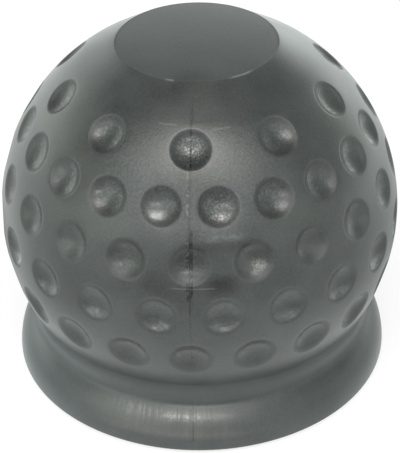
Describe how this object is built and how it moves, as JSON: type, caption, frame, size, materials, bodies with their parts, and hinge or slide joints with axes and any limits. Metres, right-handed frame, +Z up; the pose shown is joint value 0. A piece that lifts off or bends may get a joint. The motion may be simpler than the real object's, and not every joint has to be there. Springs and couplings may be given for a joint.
{
  "type": "tow ball cover",
  "caption": "Ball-shaped cap with rows of dimples, a flat top pad and a rounded collar, hollow inside, that pushes over a tow ball to keep its grease off clothes and dirt off the ball.",
  "frame": {"origin": "centre of the collar's flat foot, on the surface that the cover stands on", "axes": "+Z up along the axis of the ball, from the mouth to the flat pad; the mould's parting line runs down the side that faces -Y, 3.1 degrees towards -X"},
  "size_m": [0.062, 0.062, 0.0555],
  "materials": {
    "black_rubber": "satin moulded rubber, black worn to dark grey"
  },
  "bodies": {
    "root": {"ball_cover": "black_rubber"}
  },
  "joints": []
}
